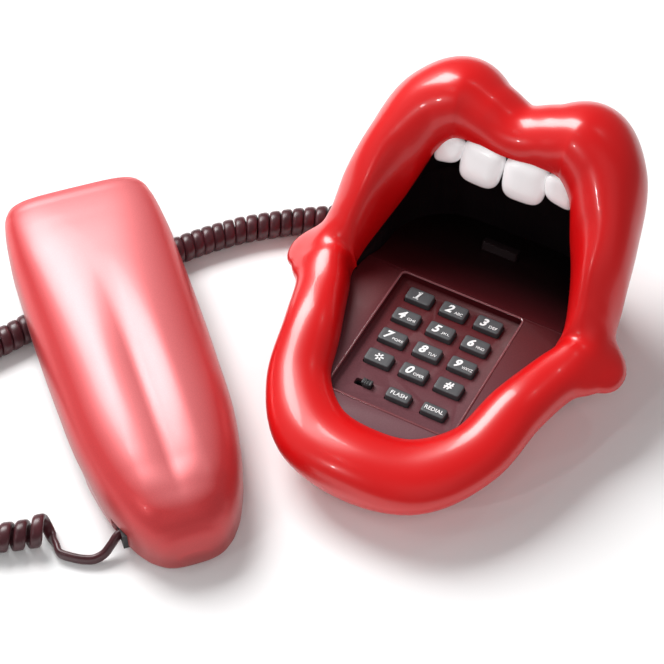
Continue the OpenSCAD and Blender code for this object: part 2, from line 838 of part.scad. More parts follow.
// A place in the handset's own frame, as seen from the base
function from_handset(p) =
    [tip_x + p[0] * cos(tongue_turn) - p[1] * sin(tongue_turn),
     tip_y + p[0] * sin(tongue_turn) + p[1] * cos(tongue_turn), p[2]];
lead_z = hs_jack_z + 1.15 + plug_h / 2;
plug_out = hs_jack_v - 1.5;
lead_in = from_handset([hs_jack_u, plug_out + meet, lead_z]);
lead_near = from_handset([hs_jack_u, plug_out + 3, lead_z]);
// Lead on its way from the coil to the handset
lead_bend = [[-90.5, -160.4, 2.6], [-82, -157.8, 2.8], [-78.4, -152.2, 4.6]];
coil_end = coil_route[len(coil_route) - 1];
coil_out = coil_end - coil_route[len(coil_route) - 2];
module cord_lead_handset() {
    color("#3a1a20")
        at_base()
            tube(concat([step_off(coil_end, coil_out, meet)],
                open_run(concat([step_off(coil_end, coil_out, 3)], lead_bend, [lead_near]), 3),
                [lead_in]), lead_d);
}
module plug_handset() {
    color("#e8e6e0")
        at_handset()
            translate([hs_jack_u, plug_out, lead_z - plug_h / 2])
                rotate([0, 0, 90])
                    plug();
}

lips_shell();
base_pan();
mouth_tray();
mouth_liner();
keypad_panel();
teeth_strip();
key_1();
key_2();
key_3();
key_4();
key_5();
key_6();
key_7();
key_8();
key_9();
key_star();
key_0();
key_hash();
key_flash();
key_redial();
keypad_membrane();
main_board();
board_parts();
ringer();
ballast_plate();
tone_switch_body();
tone_switch_knob();
hook_plunger();
hook_spring();
hook_switch_body();
line_jack();
cord_jack();
rubber_feet();
base_screws();
panel_screws();
tongue_shell();
handset_base();
ear_receiver();
mic_capsule();
handset_weight();
handset_jack();
handset_screws();
handset_wires();
plug_base();
cord_lead_base();
cord_coil();
cord_lead_handset();
plug_handset();
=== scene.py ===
import math

import bmesh
import bpy
import numpy as np
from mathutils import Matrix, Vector


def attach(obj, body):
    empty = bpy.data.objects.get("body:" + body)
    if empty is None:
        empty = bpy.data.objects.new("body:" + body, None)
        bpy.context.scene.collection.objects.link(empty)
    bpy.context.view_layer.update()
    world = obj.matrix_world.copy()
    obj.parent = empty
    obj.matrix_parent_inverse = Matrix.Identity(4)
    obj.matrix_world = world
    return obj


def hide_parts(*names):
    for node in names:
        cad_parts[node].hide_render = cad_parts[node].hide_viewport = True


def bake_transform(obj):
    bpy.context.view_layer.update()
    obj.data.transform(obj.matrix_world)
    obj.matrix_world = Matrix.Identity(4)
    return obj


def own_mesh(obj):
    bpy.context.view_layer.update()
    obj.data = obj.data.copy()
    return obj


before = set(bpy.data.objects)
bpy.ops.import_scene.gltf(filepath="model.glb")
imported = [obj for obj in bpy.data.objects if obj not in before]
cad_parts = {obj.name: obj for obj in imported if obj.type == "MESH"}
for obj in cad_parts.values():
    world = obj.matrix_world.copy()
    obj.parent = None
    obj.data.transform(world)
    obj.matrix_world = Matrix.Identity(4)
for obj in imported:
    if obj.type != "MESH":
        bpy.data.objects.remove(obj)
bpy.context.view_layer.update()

MM = 0.001
WELD = 2e-6             # corners closer than this are one corner, m
BEVEL_STEPS = 3
BEVEL_ABOVE = 35        # edges sharper than this are rounded, degrees
CORNER_STEPS = 6        # spans round the corner of a rounded rectangle
CROWN_RINGS = (0.75, 0.45, 0.18)    # rings of points on a key's top, as shares of its size

# ---- places -------------------------------------------------------------
BASE = np.array([63.5, 23.5, 0.0])              # the base's own origin in the frame, mm
TIP = BASE + (-41.7, -139.0, 0.0)               # tip of the tongue on the table, mm
TURN = math.radians(137.2)                      # heading of the tongue
UP = np.array([0, 0, 1.0])


def base_mm(points):
    """Points in the base's own frame, in mm, as points in the row frame, in metres."""
    return (np.asarray(points, float) + BASE) * MM


def handset_mm(points):
    """Points along, across and above the tongue, in mm, as points in the row frame, in metres."""
    p = np.asarray(points, float)
    c, s = math.cos(TURN), math.sin(TURN)
    out = np.stack([c * p[..., 0] - s * p[..., 1], s * p[..., 0] + c * p[..., 1], p[..., 2]], -1)
    return (out + TIP) * MM


# ---- curves -------------------------------------------------------------
def blend4(a, b, c, d, t):
    """The Catmull-Rom curve from b to c, between neighbours a and d, at t from 0 to 1."""
    return 0.5 * (2 * b + (c - a) * t + (2 * a - 5 * b + 4 * c - d) * t * t
                  + (3 * b - a - 3 * c + d) * t ** 3)


def closed_run(rows, n):
    """A closed smooth run through rows of numbers, n steps a span."""
    rows = np.asarray(rows, float)
    m = len(rows)
    return np.array([blend4(rows[i - 1], rows[i], rows[(i + 1) % m], rows[(i + 2) % m], k / n)
                     for i in range(m) for k in range(n)])


def open_run(rows, n):
    """An open smooth run through rows of numbers, n steps a span."""
    rows = np.asarray(rows, float)
    last = len(rows) - 1
    out = [blend4(rows[max(i - 1, 0)], rows[i], rows[i + 1], rows[min(i + 2, last)], k / n)
           for i in range(last) for k in range(n)]
    return np.array(out + [rows[last]])


def even_run(rows, n):
    """A smooth run through rows of numbers whose first column climbs unevenly, n steps a span."""
    rows = np.asarray(rows, float)
    at = rows[:, 0]
    tangent = np.gradient(rows, at, axis=0)
    out = []
    for i in range(len(rows) - 1):
        span = at[i + 1] - at[i]
        for k in range(n):
            t = k / n
            out.append((2 * t ** 3 - 3 * t * t + 1) * rows[i]
                       + (t ** 3 - 2 * t * t + t) * span * tangent[i]
                       + (3 * t * t - 2 * t ** 3) * rows[i + 1]
                       + (t ** 3 - t * t) * span * tangent[i + 1])
    return np.array(out + [rows[-1]])


def signed_pow(v, e):
    """v to the power e, keeping v's sign: below 1 it squares off a circle's sine and cosine."""
    return np.sign(v) * np.abs(v) ** e


def unit(vectors):
    return vectors / np.linalg.norm(vectors, axis=1)[:, None]


def distance_along(path):
    """How far each point of a polyline is from its start."""
    return np.concatenate([[0], np.cumsum(np.linalg.norm(np.diff(path, axis=0), axis=1))])


def resampled(path, step):
    """Points an even distance apart along a polyline."""
    run = distance_along(path)
    s = np.linspace(0, run[-1], max(2, int(round(run[-1] / step)) + 1))
    return np.stack([np.interp(s, run, path[:, i]) for i in range(3)], 1)


# ---- meshes -------------------------------------------------------------
def linked(name, data):
    """A new object in the scene."""
    obj = bpy.data.objects.new(name, data)
    bpy.context.scene.collection.objects.link(obj)
    return obj


def new_object(name, verts, faces, smooth=True, sharp=None):
    mesh = bpy.data.meshes.new(name)
    mesh.from_pydata([tuple(map(float, v)) for v in verts], [], [tuple(map(int, f)) for f in faces])
    mesh.validate()
    work = bmesh.new()
    work.from_mesh(mesh)
    bmesh.ops.recalc_face_normals(work, faces=work.faces)
    work.to_mesh(mesh)
    work.free()
    obj = linked(name, mesh)
    shade(obj, smooth, sharp)
    return obj


def shade(obj, smooth=True, sharp=None):
    """Smooth or flat shading, with edges kept sharp above so many degrees."""
    mesh = obj.data
    mesh.polygons.foreach_set("use_smooth", [smooth] * len(mesh.polygons))
    if smooth and sharp is not None:
        mesh.set_sharp_from_angle(angle=math.radians(sharp))
    mesh.update()


def ring_faces(n, m, closed=False):
    """Quads between n rings of m points each, joined into a loop or capped at both ends."""
    faces = []
    for i in range(n if closed else n - 1):
        k = (i + 1) % n
        for j in range(m):
            q = (j + 1) % m
            faces.append((i * m + j, i * m + q, k * m + q, k * m + j))
    if not closed:
        faces += [tuple(range(m)), tuple((n - 1) * m + j for j in range(m))]
    return faces


def ring_solid(name, rings, closed=False, sharp=None):
    """A solid from rings of points, either joined into a loop or closed at both ends."""
    rings = np.asarray(rings, float)
    return new_object(name, rings.reshape(-1, 3), ring_faces(*rings.shape[:2], closed), sharp=sharp)


def applied(obj):
    """Replaces obj's mesh by what its modifiers make of it."""
    graph = bpy.context.evaluated_depsgraph_get()
    mesh = bpy.data.meshes.new_from_object(obj.evaluated_get(graph))
    obj.modifiers.clear()
    obj.data = mesh
    return obj


def cut_away(obj, cutter):
    """Takes the cutter's solid out of obj, and removes the cutter."""
    mod = obj.modifiers.new("cut", "BOOLEAN")
    mod.object = cutter
    mod.operation = "DIFFERENCE"
    mod.solver = "EXACT"
    applied(obj)
    bpy.data.objects.remove(cutter)
    return obj


def joined(name, parts):
    """Several pieces as one mesh."""
    work = bmesh.new()
    for part in parts:
        work.from_mesh(part.data)
    mesh = bpy.data.meshes.new(name)
    work.to_mesh(mesh)
    work.free()
    obj = linked(name, mesh)
    for part in parts:
        bpy.data.objects.remove(part)
    return obj


def refined(node, name, bevel):
    """A copy of a CAD node, its flat faces made whole and its edges rounded by bevel, in mm."""
    work = bmesh.new()
    work.from_mesh(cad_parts[node].data)
    bmesh.ops.remove_doubles(work, verts=work.verts, dist=WELD)
    bmesh.ops.dissolve_limit(work, angle_limit=math.radians(1), verts=work.verts, edges=work.edges)
    mesh = bpy.data.meshes.new(name)
    work.to_mesh(mesh)
    work.free()
    obj = linked(name, mesh)
    mod = obj.modifiers.new("round", "BEVEL")
    mod.width = bevel * MM
    mod.segments = BEVEL_STEPS
    mod.limit_method = "ANGLE"
    mod.angle_limit = math.radians(BEVEL_ABOVE)
    applied(obj)
    shade(obj, True, 30)
    return obj


def rounded_outline(w, d, r):
    """Corner points of a rounded rectangle in plan, anticlockwise."""
    pts = []
    for cx, cy, a0 in ((1, 1, 0), (-1, 1, 90), (-1, -1, 180), (1, -1, 270)):
        for k in range(CORNER_STEPS + 1):
            a = math.radians(a0 + 90 * k / CORNER_STEPS)
            pts.append((cx * (w / 2 - r) + r * math.cos(a), cy * (d / 2 - r) + r * math.sin(a)))
    return np.array(pts)


def cap_block(name, w, d, z0, z1, r, edge, crown=0.0, taper=0.0):
    """A moulded key or button: rounded in plan, with a rounded top edge and a flat or domed top."""
    plan = rounded_outline(w, d, r)
    side = z1 - edge
    rings = [(0.0, z0), (taper * 0.5, side - (side - z0) * 0.5), (taper, side)]
    rings += [(taper + edge * (1 - math.cos(a)), side + edge * math.sin(a))
              for a in np.radians([22.5, 45, 67.5, 90])]
    half = np.array([w / 2, d / 2])
    verts = []
    for inset, z in rings:
        k = (half - inset) / half
        verts += [(x * k[0], y * k[1], z) for x, y in plan]
    for f in CROWN_RINGS:
        rise = crown * (1 - f * f)
        verts += [(x * k[0] * f, y * k[1] * f, z1 + rise) for x, y in plan]
    return new_object(name, verts, ring_faces(len(rings) + len(CROWN_RINGS), len(plan)), sharp=50)


def placed(obj, offset):
    """Moves a mesh made in mm around its own origin to a place in the base."""
    co = np.array([v.co for v in obj.data.vertices], float) + np.asarray(offset, float)
    co = base_mm(co)
    obj.data.vertices.foreach_set("co", co.astype(np.float32).ravel())
    obj.data.update()
    return obj


# ---- materials ----------------------------------------------------------
GLOSS_SPREAD = 0.06     # how far a plastic's roughness strays from its middle


def material(name):
    """A new material, its node tree and its shader."""
    mat = bpy.data.materials.new(name)
    mat.use_nodes = True
    return mat, mat.node_tree, mat.node_tree.nodes["Principled BSDF"]


def noise(tree, scale, detail):
    where = tree.nodes.new("ShaderNodeTexCoord")
    tex = tree.nodes.new("ShaderNodeTexNoise")
    tex.inputs["Scale"].default_value = scale
    tex.inputs["Detail"].default_value = detail
    tree.links.new(where.outputs["Object"], tex.inputs["Vector"])
    return tex.outputs["Fac"]


def ramp(tree, source, stops):
    """Colours by the source's value, from stops of place and colour."""
    node = tree.nodes.new("ShaderNodeValToRGB")
    while len(node.color_ramp.elements) < len(stops):
        node.color_ramp.elements.new(0.5)
    for element, (place, colour) in zip(node.color_ramp.elements, stops):
        element.position = place
        element.color = (*colour, 1)
    tree.links.new(source, node.inputs["Fac"])
    return node.outputs["Color"]


def mapped(tree, source, low, high, to_low, to_high):
    """The source's value moved from the range low to high into the range to_low to to_high."""
    node = tree.nodes.new("ShaderNodeMapRange")
    node.inputs["From Min"].default_value = low
    node.inputs["From Max"].default_value = high
    node.inputs["To Min"].default_value = to_low
    node.inputs["To Max"].default_value = to_high
    tree.links.new(source, node.inputs["Value"])
    return node.outputs["Result"]


def multiplied(tree, a, b):
    """Two colours multiplied."""
    node = tree.nodes.new("ShaderNodeMix")
    node.data_type = "RGBA"
    node.blend_type = "MULTIPLY"
    sockets = {s.name: s for s in node.inputs if s.enabled}
    sockets["Factor"].default_value = 1.0
    tree.links.new(a, sockets["A"])
    tree.links.new(b, sockets["B"])
    return [s for s in node.outputs if s.enabled][0]


def bump(tree, shader, height, strength, distance):
    node = tree.nodes.new("ShaderNodeBump")
    node.inputs["Strength"].default_value = strength
    node.inputs["Distance"].default_value = distance
    tree.links.new(height, node.inputs["Height"])
    tree.links.new(node.outputs["Normal"], shader.inputs["Normal"])


def plastic(name, colour, dark, rough, grain=900.0, grain_depth=0.00002, coat=0.0,
            coat_rough=0.03, metallic=0.0):
    """Moulded plastic or metal with a slow change of colour and gloss, and a fine skin."""
    mat, tree, shader = material(name)
    slow = noise(tree, 35.0, 3.0)
    tree.links.new(ramp(tree, slow, [(0.35, dark), (0.65, colour)]), shader.inputs["Base Color"])
    gloss = mapped(tree, noise(tree, 90.0, 3.0), 0.3, 0.7,
                   rough - GLOSS_SPREAD, rough + GLOSS_SPREAD)
    tree.links.new(gloss, shader.inputs["Roughness"])
    shader.inputs["Coat Weight"].default_value = coat
    shader.inputs["Coat Roughness"].default_value = coat_rough
    shader.inputs["Metallic"].default_value = metallic
    bump(tree, shader, noise(tree, grain, 2.0), 0.35, grain_depth)
    return mat


def lips_material():
    mat, tree, shader = material("lips_gloss_red")
    slow = noise(tree, 14.0, 2.0)
    tree.links.new(ramp(tree, slow, [(0.3, (0.60, 0.003, 0.004)), (0.7, (0.68, 0.004, 0.005))]),
                   shader.inputs["Base Color"])
    shader.inputs["Roughness"].default_value = 0.3
    shader.inputs["Specular IOR Level"].default_value = 0.6
    shader.inputs["Coat Weight"].default_value = 0.3
    shader.inputs["Coat Roughness"].default_value = 0.05
    bump(tree, shader, noise(tree, 420.0, 2.0), 0.04, 0.00002)
    return mat


def tongue_material(name, top, side, low):
    """Pearl paint coloured by the way the shell faces: paler where it faces up as a painted
    highlight, more saturated where it turns to its sides, darker facing down as painted shade.
    """
    mat, tree, shader = material(name)
    geometry = tree.nodes.new("ShaderNodeNewGeometry")
    split = tree.nodes.new("ShaderNodeSeparateXYZ")
    tree.links.new(geometry.outputs["Normal"], split.inputs["Vector"])
    # painted light and shade: colour by how far the surface faces up, paler on top, darker
    # underneath
    facing_light_and_shade = ramp(tree, split.outputs["Z"], [(0.0, low), (0.45, side), (0.80, side), (0.985, top)])
    flake = ramp(tree, noise(tree, 2600.0, 2.0),
                 [(0.35, (0.90, 0.90, 0.90)), (0.7, (1.0, 1.0, 1.0))])
    tree.links.new(multiplied(tree, facing_light_and_shade, flake), shader.inputs["Base Color"])
    gloss = mapped(tree, noise(tree, 1800.0, 2.0), 0.3, 0.7, 0.33, 0.43)
    tree.links.new(gloss, shader.inputs["Roughness"])
    shader.inputs["Metallic"].default_value = 0.25
    shader.inputs["Specular IOR Level"].default_value = 0.6
    shader.inputs["Coat Weight"].default_value = 0.07
    shader.inputs["Coat Roughness"].default_value = 0.07
    bump(tree, shader, noise(tree, 1500.0, 2.0), 0.15, 0.00001)
    return mat


def floor_material():
    """Fine-textured burgundy plastic, paler mauve at the front as a painted reflection and
    darkening towards the back of the mouth as painted shade.
    """
    mat, tree, shader = material("mouth_burgundy_grain_and_painted_shade")
    where = tree.nodes.new("ShaderNodeTexCoord")
    split = tree.nodes.new("ShaderNodeSeparateXYZ")
    tree.links.new(where.outputs["Object"], split.inputs["Vector"])
    # painted reflection and shade: paler mauve at the front, fading to near-black at the back of
    # the mouth
    along = mapped(tree, split.outputs["Y"], -0.045, 0.115, 0.0, 1.0)
    base = ramp(tree, along, [(0.05, (0.150, 0.058, 0.070)), (0.28, (0.135, 0.040, 0.049)),
                              (0.42, (0.120, 0.022, 0.027)), (0.53, (0.098, 0.010, 0.013)),
                              (0.63, (0.050, 0.005, 0.007)), (0.75, (0.016, 0.004, 0.005)),
                              (0.90, (0.006, 0.003, 0.003))])
    speck = ramp(tree, noise(tree, 1500.0, 3.0),
                 [(0.35, (0.82, 0.82, 0.82)), (0.7, (1.0, 1.0, 1.0))])
    tree.links.new(multiplied(tree, base, speck), shader.inputs["Base Color"])
    gloss = mapped(tree, noise(tree, 120.0, 3.0), 0.3, 0.7, 0.40, 0.50)
    tree.links.new(gloss, shader.inputs["Roughness"])
    shader.inputs["Specular IOR Level"].default_value = 0.16
    bump(tree, shader, noise(tree, 1700.0, 3.0), 0.4, 0.00004)
    return mat


def cord_material():
    mat, tree, shader = material("cord_maroon_vinyl")
    slow = noise(tree, 130.0, 3.0)
    tree.links.new(ramp(tree, slow, [(0.3, (0.042, 0.009, 0.012)), (0.7, (0.080, 0.016, 0.022))]),
                   shader.inputs["Base Color"])
    gloss = mapped(tree, noise(tree, 400.0, 3.0), 0.3, 0.7, 0.30, 0.42)
    tree.links.new(gloss, shader.inputs["Roughness"])
    shader.inputs["Specular IOR Level"].default_value = 0.55
    bump(tree, shader, noise(tree, 900.0, 2.0), 0.2, 0.00003)
    return mat


def set_material(obj, mat):
    """Makes mat the object's only material, and gives the object back."""
    obj.data.materials.clear()
    obj.data.materials.append(mat)
    return obj


LIPS = lips_material()
# both tongue paints carry painted light and shade: paler where facing up, darker where facing down
TONGUE = tongue_material("tongue_pearl_painted_light",
                         (0.74, 0.165, 0.175), (0.68, 0.050, 0.055), (0.42, 0.05, 0.05))
UNDER = tongue_material("tongue_under_satin_painted_light",
                        (0.62, 0.25, 0.26), (0.60, 0.22, 0.23), (0.50, 0.18, 0.19))
FLOOR_SKIN = floor_material()
CORD = cord_material()
# near-black: partly the liner's own dark plastic, partly painted shade at the back of the mouth
BLACK = plastic("mouth_black_satin_and_painted_shade", (0.010, 0.006, 0.007), (0.006, 0.003, 0.004), 0.42)
TOOTH = plastic("tooth_gloss_white", (0.95, 0.94, 0.95), (0.92, 0.91, 0.92), 0.16,
                60.0, 0.00008, coat=0.5)
KEY = plastic("key_satin_charcoal", (0.068, 0.069, 0.074), (0.048, 0.049, 0.053), 0.45,
              2200.0, 0.00004)
LEGEND = plastic("legend_white_ink", (0.86, 0.86, 0.86), (0.80, 0.80, 0.80), 0.5)
BASE_BLACK = plastic("base_satin_black", (0.026, 0.026, 0.028), (0.018, 0.018, 0.020), 0.48,
                     1500.0, 0.00004)
RUBBER = plastic("foot_rubber", (0.022, 0.022, 0.022), (0.014, 0.014, 0.014), 0.85,
                 1300.0, 0.00006)
STEEL = plastic("zinc_steel", (0.62, 0.62, 0.63), (0.50, 0.50, 0.51), 0.28, metallic=1.0)
WEIGHT = plastic("bare_steel_plate", (0.26, 0.26, 0.27), (0.16, 0.16, 0.17), 0.5, metallic=1.0)
BOARD = plastic("board_lacquer", (0.04, 0.20, 0.07), (0.025, 0.15, 0.05), 0.32, 700.0)
SOUNDER = plastic("sounder_brass", (0.66, 0.52, 0.25), (0.55, 0.42, 0.18), 0.3, metallic=1.0)
SILICONE = plastic("membrane_silicone", (0.62, 0.60, 0.56), (0.55, 0.53, 0.50), 0.6)
WIRE = plastic("wire_red_vinyl", (0.45, 0.02, 0.02), (0.35, 0.015, 0.015), 0.4)
tooth_glow_shader = TOOTH.node_tree.nodes["Principled BSDF"]
# painted light: a faint glow whitens the teeth where the lips shade them
tooth_glow_shader.inputs["Emission Color"].default_value = (1, 0.99, 1, 1)
tooth_glow_shader.inputs["Emission Strength"].default_value = 0.1
PLUG = plastic("plug_clear", (0.80, 0.79, 0.76), (0.74, 0.73, 0.70), 0.12, 500.0, coat=0.3)
PLUG.node_tree.nodes["Principled BSDF"].inputs["Transmission Weight"].default_value = 0.7
HOOK = plastic("hook_satin_brown", (0.014, 0.007, 0.008), (0.010, 0.005, 0.006), 0.32)
EDGE = plastic("mouth_edge_gloss", (0.20, 0.060, 0.068), (0.16, 0.045, 0.052), 0.2,
               coat=0.8, coat_rough=0.12)

NODE_MATERIALS = {
    "lips_shell": LIPS, "base_pan": BASE_BLACK, "mouth_tray": FLOOR_SKIN, "mouth_liner": BLACK,
    "keypad_panel": FLOOR_SKIN, "teeth_strip": TOOTH, "keypad_membrane": SILICONE,
    "main_board": BOARD, "board_parts": BASE_BLACK, "ringer": SOUNDER, "ballast_plate": WEIGHT,
    "tone_switch_body": BASE_BLACK, "tone_switch_knob": BASE_BLACK, "hook_plunger": BLACK,
    "hook_spring": STEEL,
    "hook_switch_body": BASE_BLACK, "line_jack": BASE_BLACK, "cord_jack": BASE_BLACK,
    "rubber_feet": RUBBER, "base_screws": STEEL, "panel_screws": STEEL, "tongue_shell": TONGUE,
    "handset_base": UNDER, "ear_receiver": WEIGHT, "mic_capsule": WEIGHT, "handset_weight": WEIGHT,
    "handset_jack": BASE_BLACK, "handset_screws": STEEL, "handset_wires": WIRE, "plug_base": PLUG,
    "plug_handset": PLUG}
for node_name, node_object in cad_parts.items():
    set_material(node_object, NODE_MATERIALS.get(node_name, KEY))

# ---- camera -------------------------------------------------------------
AZIMUTH, ELEVATION = math.radians(28.4), math.radians(51.0)
CAMERA_AIM = Vector((0.0220, 0.0030, 0.030))
CAMERA_DISTANCE = 0.9
SENSOR = 36.0           # mm
LENS = 110.7            # mm
CLIP_END = 20
back = Vector((math.sin(AZIMUTH) * math.cos(ELEVATION), -math.cos(AZIMUTH) * math.cos(ELEVATION),
               math.sin(ELEVATION)))
camera_data = bpy.data.cameras.new("camera")
camera_data.lens = LENS
camera_data.sensor_width = SENSOR
camera_data.clip_end = CLIP_END
camera = linked("camera", camera_data)
camera.location = CAMERA_AIM + back * CAMERA_DISTANCE
camera.rotation_euler = (CAMERA_AIM - camera.location).to_track_quat("-Z", "Y").to_euler()
bpy.context.scene.camera = camera

# ---- cord ---------------------------------------------------------------
COIL_D = 13.0         # outside diameter of the turns
WIRE_W = 5.2          # width of the flat wire
WIRE_T = 3.0          # its thickness
WIRE_SIDES = 14
WIRE_SQUARE = 0.75    # 1 is an oval section, and less is squarer
COIL_R = COIL_D / 2 - WIRE_T / 2
PITCH = 5.5           # from one turn to the next
COIL_Z = COIL_D / 2
TURN_STEPS = 16
OPEN_TAIL = 34        # the turns are looser over this last stretch
TAIL_FADE = 4.0
LAST_TURN = 5.0       # and the last turn stands open over this one
WIDE_TAIL = 9.0       # the turns widen over this last stretch
WIDER = 1.2
COIL_ROUTE = [(-75, 60), (-81, 58.6), (-86, 55.7), (-98.1, 47.2), (-112.2, 35.6),
              (-120.1, 28), (-131.9, 13.6), (-143, -3), (-156, -22), (-165, -44),
              (-173, -66), (-183, -86), (-194, -104), (-203, -124), (-205, -145),
              (-197, -163), (-179, -174.5), (-157, -178), (-138, -175), (-121.5, -169),
              (-104, -155)]
PLUG_BASE = np.array([-59.4, 59.5, 9.6])
LEAD_IN = [PLUG_BASE, PLUG_BASE + (-4, 0, -0.4), PLUG_BASE + (-9, 0, -4.2),
           PLUG_BASE + (-13, 0.2, -7.4)]
LEAD_OUT = [(-99.0, -158.5, 2.6), (-95.7, -161.0, 2.8), (-90.3, -160.4, 2.8), (-85.5, -159.0, 2.8),
            (-81.4, -156.8, 3.0), (-78.6, -153.2, 4.2), (-77.4, -149.0, 6.6), (-76.6, -145.4, 8.8),
            (-75.2, -142.8, 9.3)]


def helix():
    """Centre line of the curly part, and the way out from the coil's own axis all along it."""
    route = resampled(open_run([(x, y, COIL_Z) for x, y in COIL_ROUTE], 12), 0.25)
    run = distance_along(route)
    total = run[-1]
    # the turns differ a little from each other, and lie looser towards the handset
    loose = (1 + 0.03 * np.sin(run / 17.0) + 0.03 * np.sin(run / 7.3 + 1.0)
             + 0.20 / (1 + np.exp((total - OPEN_TAIL - run) / TAIL_FADE))
             + 0.75 * np.exp(-((run - total) / LAST_TURN) ** 2))
    density = 1.0 / (PITCH * loose)
    turns = np.concatenate([[0], np.cumsum((density[1:] + density[:-1]) / 2 * np.diff(run))])
    whole = round(turns[-1])
    turns *= whole / turns[-1]
    t = np.linspace(0, whole, int(whole * TURN_STEPS) + 1)
    s = np.interp(t, turns, run)
    centre = np.stack([np.interp(s, run, route[:, i]) for i in range(3)], 1)
    side = unit(np.cross(unit(np.gradient(centre, axis=0)), UP))
    angle = 2 * np.pi * t - np.pi / 2
    out = np.cos(angle)[:, None] * side + np.sin(angle)[:, None] * UP
    wide = COIL_R + WIDER * np.clip(1 - (total - s) / WIDE_TAIL, 0, 1)
    lift = UP * (wide - COIL_R)[:, None]
    return centre + wide[:, None] * out + lift, out


def cord_piece():
    """The whole wire as one tube, with the path of its centre line and its length in metres."""
    coil, out = helix()
    lead_in = open_run([*LEAD_IN, coil[0], coil[2]], 6)[:-7]
    lead_out = open_run([coil[-3], coil[-1], *LEAD_OUT], 6)[7:]
    path = np.concatenate([lead_in, coil, lead_out])
    sideways = unit(np.cross(np.gradient(lead_out, axis=0), -UP))
    outward = np.concatenate([np.tile(-UP, (len(lead_in), 1)), out, sideways])
    ahead = unit(np.gradient(path, axis=0))
    for _ in range(8):    # the wire turns over smoothly where lead and coil meet
        outward = (np.concatenate([outward[:1], outward[:-1]]) + outward
                   + np.concatenate([outward[1:], outward[-1:]])) / 3
    outward = unit(outward - np.sum(outward * ahead, 1)[:, None] * ahead)
    across = np.cross(ahead, outward)
    phi = np.linspace(0, 2 * np.pi, WIRE_SIDES, endpoint=False)
    cx = signed_pow(np.cos(phi), WIRE_SQUARE) * WIRE_W / 2
    cz = signed_pow(np.sin(phi), WIRE_SQUARE) * WIRE_T / 2
    rings = (path[:, None, :] + cx[None, :, None] * across[:, None, :]
             + cz[None, :, None] * outward[:, None, :])
    obj = ring_solid("curly_cord", base_mm(rings), sharp=60)
    length = float(np.linalg.norm(np.diff(path, axis=0), axis=1).sum()) * MM
    return obj, base_mm(path), length


curly_cord, cord_path, CORD_LENGTH = cord_piece()
set_material(curly_cord, CORD)
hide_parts("cord_lead_base", "cord_coil", "cord_lead_handset")
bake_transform(curly_cord)

# ---- lips ---------------------------------------------------------------
# x, y, z of the roll's centre, half width inward and outward, height above and depth below,
# radius out to the wall, height of the inner edge, length of the corner's point
LIP_ROWS = [
    (0, -75, 22, 20.3, 15.1, 14.4, 13.2, 3, 31.6, 0),
    (24, -68, 23.4, 17.6, 17.7, 12.6, 11, 2, 31.6, 0),
    (41, -49, 27.5, 13.6, 15.5, 11, 9, 0, 31.6, 0),
    (49, -24, 33.7, 12.7, 13.3, 10.8, 8, -2, 31.6, 0),
    (54, -2, 33.5, 9.9, 14.5, 11, 8, -3, 31.6, 0),
    (58, 9, 31.8, 9.4, 13.8, 13.5, 8.5, -2, 31.6, 4.4),
    (60, 17, 29, 11.2, 14.5, 17, 10.4, -1, 32, 7.9),
    (58, 25, 35.6, 8.5, 13.9, 21, 14.2, 1, 34, 0.9),
    (55, 36, 48.8, 8.8, 15.4, 23.3, 18.9, 3, 41, 0),
    (52, 53.5, 66.2, 14.3, 15.3, 23.2, 23, 5, 57.2, 0),
    (43.5, 68.5, 82.7, 15.3, 20.3, 21.4, 28, 9, 73.9, 0),
    (29.5, 76.5, 90.2, 15.6, 25.1, 19.8, 30, 13, 83.8, 0),
    (13.5, 76, 88.3, 14.1, 19.2, 16.5, 30, 15, 87.2, 0),
    (0, 74.5, 85.1, 13.7, 18, 15, 30, 16, 86.9, 0)]
LIP_STEPS = 9         # sections to a span of the rows
LIP_WALL = 2.4
RIM_Z = 3.0           # height of the lower rim, where the wall meets the pan
POINT_H = 8.0         # how soon the corner's point fades above and below the roll's centre
LOWEST_EDGE, HIGHEST_EDGE = -0.7, 0.95    # inner edge against the roll's centre, as a share of b


def lip_section(row, t, n_roll, n_tuck):
    """Section of the roll as distance out and height, drawn in by t."""
    _, _, z, ai, ao, b, c, rb, zin, nub = row
    e = math.asin(max(LOWEST_EDGE, min(HIGHEST_EDGE, (zin - z) / b)))
    a = e + (math.pi - e) * np.linspace(0, 1, n_roll + 1)
    h = (b - t) * np.sin(a)
    w = np.where(a < math.pi / 2, ai, ao) - t
    point = np.where(a > math.pi / 2, nub * np.exp(-(h / POINT_H) ** 2) * np.cos(a) ** 2, 0)
    roll = np.stack([-w * np.cos(a) + point, z + h], 1)
    a = math.pi / 2 * np.linspace(0, 1, n_tuck + 1)[1:]
    h = -(c - t) * np.sin(a)
    point = nub * np.exp(-(h / POINT_H) ** 2) * np.cos(a) ** 2
    tuck = np.stack([rb - t + (ao - rb) * np.cos(a) + point, z + h], 1)
    return np.concatenate([roll, tuck, [[rb - t, RIM_Z]]])


def lips_piece():
    """The roll of the lips with its wall, from the rows and their mirror image."""
    rows = LIP_ROWS + [(-r[0], *r[1:]) for r in LIP_ROWS[-2:0:-1]]
    run = closed_run(rows, LIP_STEPS)
    ahead = np.roll(run[:, :2], -1, 0) - np.roll(run[:, :2], 1, 0)
    normal = unit(np.stack([ahead[:, 1], -ahead[:, 0]], 1))
    rings = []
    for row, n in zip(run, normal):
        outer, inner = lip_section(row, 0, 34, 14), lip_section(row, LIP_WALL, 16, 8)
        section = np.concatenate([outer, inner[::-1]])
        rings.append(np.stack([row[0] + n[0] * section[:, 0], row[1] + n[1] * section[:, 0],
                               section[:, 1]], 1))
    return ring_solid("lips", base_mm(rings), closed=True, sharp=50)


